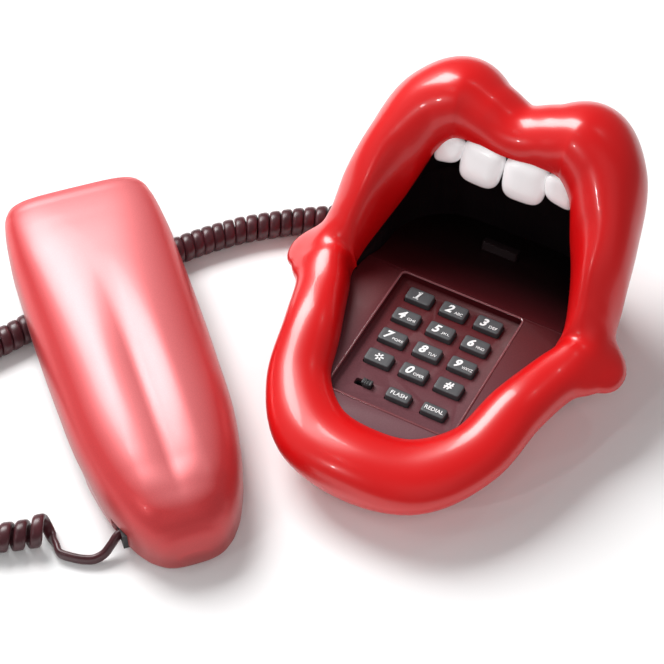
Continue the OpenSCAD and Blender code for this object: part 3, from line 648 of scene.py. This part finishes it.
WALL_JACKS = ((59.5, 12.0), (44.0, 10.4))     # y of each jack in the left wall, and its width
WALL_JACK_X = (-71, -45)                      # what the opening cuts through
WALL_JACK_TOP = 15.9
WALL_JACK_GAP = 0.3
BOX_FACES = [(0, 1, 3, 2), (4, 6, 7, 5), (0, 4, 5, 1), (2, 3, 7, 6), (0, 2, 6, 4), (1, 5, 7, 3)]

lips = lips_piece()
for y, w in WALL_JACKS:
    sides = (y - w / 2 - WALL_JACK_GAP, y + w / 2 + WALL_JACK_GAP)
    corners = [(x, side, z) for x in WALL_JACK_X for side in sides for z in (0, WALL_JACK_TOP)]
    cut_away(lips, new_object("cutter", base_mm(corners), BOX_FACES, smooth=False))
shade(lips, True, 50)
set_material(lips, LIPS)
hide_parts("lips_shell")
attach(lips, "base")

# ---- tongue handset -----------------------------------------------------
# along, half width, top, underside, widest level, depth of the furrow, squareness
TONGUE_ROWS = [
    (0, 7, 13, 4.6, 9, 0, 0), (1.5, 11.5, 18.5, 2.8, 9, 0, 0), (5, 16.6, 25.5, 1.2, 9, 0, 0),
    (11, 21.8, 31.5, 0.4, 10, 0.1, 0), (20, 26.4, 36, 0.2, 12, 0.6, 0),
    (34, 31, 38.5, 0.2, 14, 1, 0), (48, 33.8, 39.6, 0.2, 15.3, 1, 0),
    (56, 35.1, 40, 14, 15.5, 1, 0), (90, 37.2, 40.6, 14, 15.5, 1, 0),
    (122, 38, 40.4, 14, 15.5, 0.4, 0.15), (150, 38, 39.2, 14, 15.5, 0, 0.45),
    (171, 37.6, 37.8, 14, 15.5, 0, 0.75), (177, 37.1, 37.2, 0.2, 15.5, 0, 0.85),
    (181, 36.8, 36.8, 0.2, 15.5, 0, 0.9), (190, 35.6, 35.6, 0.2, 15.5, 0, 1),
    (196.5, 33.8, 34.4, 0.6, 15.5, 0, 1), (199, 32, 33, 1.6, 15.5, 0, 1),
    (200, 30, 31.4, 3.0, 15.5, 0, 1)]
TONGUE_STEPS = 8      # sections to a span of the rows
TOP_POINTS, UNDER_POINTS = 72, 28
FURROW = 2.8          # depth of the furrow
FURROW_W = 15.0       # and half its width
HOLE_SIDES = 20
LOWEST, ARCH = 0.2, 14.0    # heights of the underside at the pods and at the arch between them


def tongue_ring(row):
    """One section of the tongue."""
    u, w, top, low, mid, furrow, square = row
    a = np.pi * np.linspace(0, 1, TOP_POINTS + 1)
    v = -w * signed_pow(np.cos(a), 0.78 - 0.34 * square)
    z = mid + (top - mid) * np.sin(a).clip(0) ** (0.82 - 0.34 * square)
    z -= FURROW * furrow * np.maximum(0, 1 - np.abs(v) / FURROW_W) ** 1.5
    b = np.pi + np.pi * np.linspace(0, 1, UNDER_POINTS + 1)[1:-1]
    vb = -w * signed_pow(np.cos(b), 0.42)
    zb = mid - (mid - low) * (-np.sin(b)).clip(0) ** 0.5
    across, up = np.concatenate([v, vb]), np.concatenate([z, zb])
    return np.stack([np.full(len(across), u), across, up], 1)


def tongue_solid():
    """The whole tongue, top and underside, before it is parted at the seam."""
    run = even_run(TONGUE_ROWS, TONGUE_STEPS)
    under = open_run(TONGUE_ROWS, TONGUE_STEPS)
    run[:, 3] = np.interp(run[:, 0], under[:, 0], under[:, 3]).clip(LOWEST, ARCH)
    run[:, 5] = run[:, 5].clip(0)
    run[:, 6] = run[:, 6].clip(0, 1)
    return ring_solid("tongue", handset_mm([tongue_ring(r) for r in run]), sharp=60)


def across_tongue(outline, v0=-60.0, v1=60.0):
    """A prism across the tongue from a side view of places along and above it."""
    m = len(outline)
    pts = [(u, v, z) for v in (v0, v1) for u, z in outline]
    faces = [tuple(range(m)), tuple(range(m, 2 * m))]
    faces += [(k, (k + 1) % m, m + (k + 1) % m, m + k) for k in range(m)]
    return new_object("cutter", handset_mm(pts), faces, smooth=False)


def hole(u, v, r, z0, z1):
    """A drill for one round hole."""
    a = np.linspace(0, 2 * np.pi, HOLE_SIDES, endpoint=False)
    rings = [np.stack([u + r * np.cos(a), v + r * np.sin(a), np.full(HOLE_SIDES, z)], 1)
             for z in (z0, z1)]
    return ring_solid("cutter", handset_mm(rings))


SEAM = [(-10, 4.0), (12, 4.0), (46, 16.7), (210, 16.7)]     # between top and underside
SEAM_GAP = 0.15
JACK_SIDE = [(16.6, 4.8), (27.4, 4.8), (27.4, 13.8), (16.6, 13.8)]
JACK_ACROSS = (11.4, 43)
EAR_U, MOUTH_U = 189.3, 27      # middles of the hearing and the speaking holes
SCREWS_U = (62, 120)
tongue = cut_away(tongue_solid(), across_tongue([*SEAM, (210, -5), (-10, -5)]))
cut_away(tongue, across_tongue(JACK_SIDE, *JACK_ACROSS))
shade(tongue, True, 40)
set_material(tongue, TONGUE)
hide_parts("tongue_shell")
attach(tongue, "handset")

above_seam = [(u, z - SEAM_GAP) for u, z in SEAM] + [(210, 80), (-10, 80)]
under = cut_away(tongue_solid(), across_tongue(above_seam))
cut_away(under, across_tongue(JACK_SIDE, *JACK_ACROSS))
drills = [hole(EAR_U + x, y, 1.2, -1, 6) for x in (-4, 0, 4) for y in (-8, -4, 0, 4, 8)]
drills += [hole(MOUTH_U + x, -6, 1.0, -1, 5) for x in (-4, 0, 4)]
drills += [hole(u, 0, 3.0, 10, 15.2) for u in SCREWS_U]
cut_away(under, joined("cutter", drills))
shade(under, True, 40)
set_material(under, UNDER)
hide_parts("handset_base")
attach(under, "handset")

# ---- teeth --------------------------------------------------------------
# middle of the biting edge x, y, z, then width, length, thickness, turn, slope of the biting edge
TEETH = [(-27.6, 59.6, 71.4, 14.6, 15, 7.0, -20, 7.0), (-10.8, 57.2, 67.6, 21.4, 21, 9.0, -5, 0.8),
         (10.8, 57.2, 67.6, 21.4, 21, 9.0, 5, -0.8), (27.6, 59.6, 71.4, 14.6, 15, 7.0, 20, -7.0)]
TOOTH_LEAN = 22.0
TOOTH_SQUARE = 0.56   # 1 is an oval face, and less is squarer
TOOTH_POINTS = 40


def tooth_piece(x, y, z, w, l, t, turn, slope):
    """A tooth as a cushion: full at the middle, rounded to its edges, with a soft biting edge."""
    phi = np.linspace(0, 2 * np.pi, TOOTH_POINTS, endpoint=False)
    px = signed_pow(np.cos(phi), TOOTH_SQUARE)
    pz = signed_pow(np.sin(phi), TOOTH_SQUARE)
    narrow = 1 - 0.08 * (1 - pz) / 2
    rings = []
    for depth in np.linspace(-90, 90, 17):
        k = math.cos(math.radians(depth)) ** 0.55 if abs(depth) < 90 else 0.02
        yy = t / 2 * math.sin(math.radians(depth))
        across, up = px * w / 2 * k * narrow, l / 2 + pz * l / 2 * k
        up = up + slope * across / w * (1 - up / l)
        rings.append(np.stack([across, np.full(TOOTH_POINTS, yy), up], 1))
    a, b, c = np.moveaxis(np.array(rings), -1, 0)
    lean, heading = math.radians(TOOTH_LEAN), math.radians(turn)
    b, c = b * math.cos(lean) + c * math.sin(lean), c * math.cos(lean) - b * math.sin(lean)
    pts = np.stack([a * math.cos(heading) - b * math.sin(heading) + x,
                    a * math.sin(heading) + b * math.cos(heading) + y, c + z], -1)
    return ring_solid("tooth", base_mm(pts))


teeth = joined("teeth", [tooth_piece(*t) for t in TEETH])
shade(teeth)
set_material(teeth, TOOTH)
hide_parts("teeth_strip")
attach(teeth, "base")

# ---- mouth floor, panel and hook bar ------------------------------------
for node, name, bevel, kind in (("mouth_tray", "mouth_floor", 0.5, "mouth_burgundy"),
                                ("keypad_panel", "dial_panel", 0.2, "mouth_burgundy")):
    piece = set_material(refined(node, name, bevel), FLOOR_SKIN)
    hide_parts(node)
    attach(piece, "base")
FLOOR_Z = 30.0
RECESS_W, RECESS_D, RECESS_Y = 59.0, 73.0, -11.0     # the keypad recess, and y of its middle
RECESS_R = 1.4
BEAD_W, BEAD_H, BEAD_FOOT = 1.2, 0.45, 0.4           # the edge's width, height and depth sunk


def recess_edge():
    """The rounded edge moulded round the keypad recess."""
    half = BEAD_W / 2
    profile = [(half - half * math.cos(a), BEAD_H * math.sin(a))
               for a in np.linspace(0, math.pi, 9)]
    rings = []
    for out, up in [*profile, (BEAD_W, -BEAD_FOOT), (0.0, -BEAD_FOOT)]:
        plan = rounded_outline(RECESS_W + 2 * out, RECESS_D + 2 * out, RECESS_R + out)
        rings.append(np.column_stack([plan[:, 0], plan[:, 1] + RECESS_Y,
                                      np.full(len(plan), FLOOR_Z + up)]))
    return ring_solid("mouth_floor_edge", base_mm(rings), closed=True, sharp=60)


edge = set_material(recess_edge(), EDGE)
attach(edge, "base")
bar = set_material(refined("hook_plunger", "hook_bar", 0.5), HOOK)
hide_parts("hook_plunger")
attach(bar, "hook")

coil_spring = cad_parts["hook_spring"].copy()
coil_spring.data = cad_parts["hook_spring"].data.copy()
coil_spring.name = "hook_coil"
bpy.context.scene.collection.objects.link(coil_spring)
set_material(coil_spring, STEEL)
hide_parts("hook_spring")
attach(coil_spring, "base")
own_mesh(coil_spring)

# ---- keys ---------------------------------------------------------------
PANEL_Z = 26.5
KEY_FOOT = 23.3
KEY_TOP = 29.1
KEY_SIZE = (12.5, 7.4)
KEY_PITCH = (17.0, 13.1)
TOP_ROW_Y = 17.0
SMALL_KEY_SIZE = (11.4, 5.8)
SMALL_ROW_Y = -36.8
KNOB_X = -15.3
INK = 0.05            # the ink's height above a key's top, and its depth below
KEYS = {"1": ("1", ""), "2": ("2", "ABC"), "3": ("3", "DEF"),
        "4": ("4", "GHI"), "5": ("5", "JKL"), "6": ("6", "MNO"),
        "7": ("7", "PQRS"), "8": ("8", "TUV"), "9": ("9", "WXYZ"),
        "star": ("*", ""), "0": ("0", "OPER"), "hash": ("#", "")}


def printed(text, height, centre, origin, heavy, width=None, shear=0.0):
    """Letters as a thin layer of ink on top of a key, centred beside the key's own middle."""
    curve = bpy.data.curves.new("ink", "FONT")
    curve.body = text
    curve.shear = shear
    curve.offset = heavy
    curve.extrude = 0.02
    curve.resolution_u = 4
    holder = linked("ink", curve)
    graph = bpy.context.evaluated_depsgraph_get()
    mesh = bpy.data.meshes.new_from_object(holder.evaluated_get(graph))
    bpy.data.objects.remove(holder)
    co = np.array([v.co for v in mesh.vertices], float)
    low, high = co.min(0), co.max(0)
    k = height / (high[1] - low[1])
    kx = width / (high[0] - low[0]) if width else k
    co[:, 0] = (co[:, 0] - (low[0] + high[0]) / 2) * kx + centre[0] + origin[0]
    co[:, 1] = (co[:, 1] - (low[1] + high[1]) / 2) * k + centre[1] + origin[1]
    co[:, 2] = np.where(co[:, 2] > 0, KEY_TOP + INK, KEY_TOP - INK)
    mesh.vertices.foreach_set("co", base_mm(co).astype(np.float32).ravel())
    return linked("ink", mesh)


def inked_bar(x, y, length, thick, turn):
    """A straight bar of ink on top of a key."""
    a = math.radians(turn)
    along, across = np.array([math.cos(a), math.sin(a)]), np.array([-math.sin(a), math.cos(a)])
    corners = [(i * length / 2 * along + j * thick / 2 * across + (x, y)) for i, j in
               ((-1, -1), (1, -1), (1, 1), (-1, 1))]
    verts = [(px, py, z) for z in (KEY_TOP - INK, KEY_TOP + INK) for px, py in corners]
    faces = [(0, 1, 2, 3), (4, 5, 6, 7)]
    faces += [(k, (k + 1) % 4, 4 + (k + 1) % 4, 4 + k) for k in range(4)]
    return new_object("ink", base_mm(verts), faces, smooth=False)


def key_piece(name, x, y, w, d, inks):
    """A key's cap with its flange, and its printed signs."""
    cap = cap_block("cap", w, d, KEY_FOOT, KEY_TOP, 1.2, 0.55, 0.0, 0.12)
    flange = cap_block("flange", w + 1.8, d + 1.8, KEY_FOOT, KEY_FOOT + 1.0, 0.6, 0.2)
    for part in (cap, flange):
        placed(part, (x, y, 0))
    key = joined("key_cap_" + name, [cap, flange])
    shade(key, True, 50)
    set_material(key, KEY)
    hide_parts("key_" + name)
    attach(key, "key_" + name + "_body")
    ink = joined("key_legend_" + name, inks)
    set_material(ink, LEGEND)
    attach(ink, "key_" + name + "_body")


for i, (name, (sign, letters)) in enumerate(KEYS.items()):
    x, y = (i % 3 - 1) * KEY_PITCH[0], TOP_ROW_Y - i // 3 * KEY_PITCH[1]
    if sign == "*":
        inks = [inked_bar(x, y, 4.2, 0.75, turn) for turn in (0, 60, 120)]
    elif sign == "#":
        inks = [printed(sign, 4.2, (-0.2, 0.1), (x, y), 0.03, shear=0.15)]
    else:
        inks = [printed(sign, 4.5, (-2.0 if letters else -0.6, 0.1), (x, y), 0.036, shear=0.3)]
    if sign == "1":    # its foot and its flag
        inks += [inked_bar(x - 1.2, y - 2.0, 2.6, 0.5, 0),
                 inked_bar(x - 0.7, y + 1.75, 1.5, 0.55, 20)]
    if letters:
        width = 1.28 * len(letters) if len(letters) > 3 else 3.9
        inks.append(printed(letters, 1.5, (2.75, -1.15), (x, y), 0.008, width))
    key_piece(name, x, y, *KEY_SIZE, inks)
for name, x, width in (("flash", 0.0, 7.6), ("redial", 17.0, 8.8)):
    inks = [printed(name.upper(), 2.0, (0, 0.1), (x, SMALL_ROW_Y), 0.01, width)]
    key_piece(name, x, SMALL_ROW_Y, *SMALL_KEY_SIZE, inks)

knob = cap_block("knob", 4.6, 3.6, PANEL_Z - 0.2, PANEL_Z + 2.2, 1.6, 0.9, 0.25)
ribs = [cap_block("rib", 0.45, 2.6, PANEL_Z + 1.9, PANEL_Z + 2.5, 0.2, 0.15) for _ in range(4)]
placed(knob, (KNOB_X, SMALL_ROW_Y, 0))
for k, rib in enumerate(ribs):
    placed(rib, (KNOB_X + (k - 1.5) * 0.9, SMALL_ROW_Y, 0))
stem = refined("tone_switch_knob", "stem", 0.05)
knob = joined("tone_knob_cap", [knob, stem, *ribs])
shade(knob, True, 40)
set_material(knob, BASE_BLACK)
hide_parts("tone_switch_knob")
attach(knob, "tone_knob")

# ---- stage --------------------------------------------------------------
LIGHT_AIM = Vector((0, 0, 0.03))
AMBIENT = 0.16        # strength of the room's own light
BACKDROP = 0.92       # brightness of what the camera sees behind
FLOOR_HALF = 4        # half the floor's side, m


def area_light(name, place, width, height, power, glossy=True):
    """A soft light, or without glossy one that leaves no reflection."""
    data = bpy.data.lights.new(name, "AREA")
    data.shape = "RECTANGLE"
    data.size = width
    data.size_y = height
    data.energy = power
    light = linked(name, data)
    light.visible_glossy = glossy
    light.location = place
    light.rotation_euler = (LIGHT_AIM - Vector(place)).to_track_quat("-Z", "Y").to_euler()


corners = [(x * FLOOR_HALF, y * FLOOR_HALF, 0) for x, y in ((-1, -1), (1, -1), (1, 1), (-1, 1))]
ground = new_object("studio_floor", corners, [(0, 1, 2, 3)])
ground_mat, _, ground_shader = material("studio_paper")
ground_shader.inputs["Base Color"].default_value = (0.92, 0.92, 0.92, 1)
ground_shader.inputs["Roughness"].default_value = 0.8
ground_shader.inputs["Specular IOR Level"].default_value = 0.1
set_material(ground, ground_mat)

world = bpy.data.worlds.new("studio")
world.use_nodes = True
sky = world.node_tree
glow = sky.nodes["Background"]
glow.inputs["Color"].default_value = (1, 1, 1, 1)
glow.inputs["Strength"].default_value = AMBIENT
paper = sky.nodes.new("ShaderNodeBackground")
paper.inputs["Strength"].default_value = BACKDROP
seen = sky.nodes.new("ShaderNodeLightPath")
choice = sky.nodes.new("ShaderNodeMixShader")
sky.links.new(seen.outputs["Is Camera Ray"], choice.inputs["Fac"])
sky.links.new(glow.outputs["Background"], choice.inputs[1])
sky.links.new(paper.outputs["Background"], choice.inputs[2])
sky.links.new(choice.outputs["Shader"], sky.nodes["World Output"].inputs["Surface"])
bpy.context.scene.world = world
bpy.context.scene.view_settings.view_transform = "Standard"

area_light("window_soft", (-0.80, 0.38, 1.04), 0.76, 0.68, 23.5)
area_light("front_fill", (0.9, -1.0, 1.3), 1.4, 1.4, 10.0, glossy=False)
area_light("left_fill", (-1.3, -0.7, 0.9), 1.2, 1.2, 5.0, glossy=False)
area_light("front_spark", (-0.45, -1.12, 0.80), 0.06, 0.06, 1.3)
area_light("left_spark", (-0.55, -0.65, 1.5), 0.035, 0.035, 0.5)
area_light("right_spark", (0.5, 0.75, 1.5), 0.035, 0.035, 0.5)
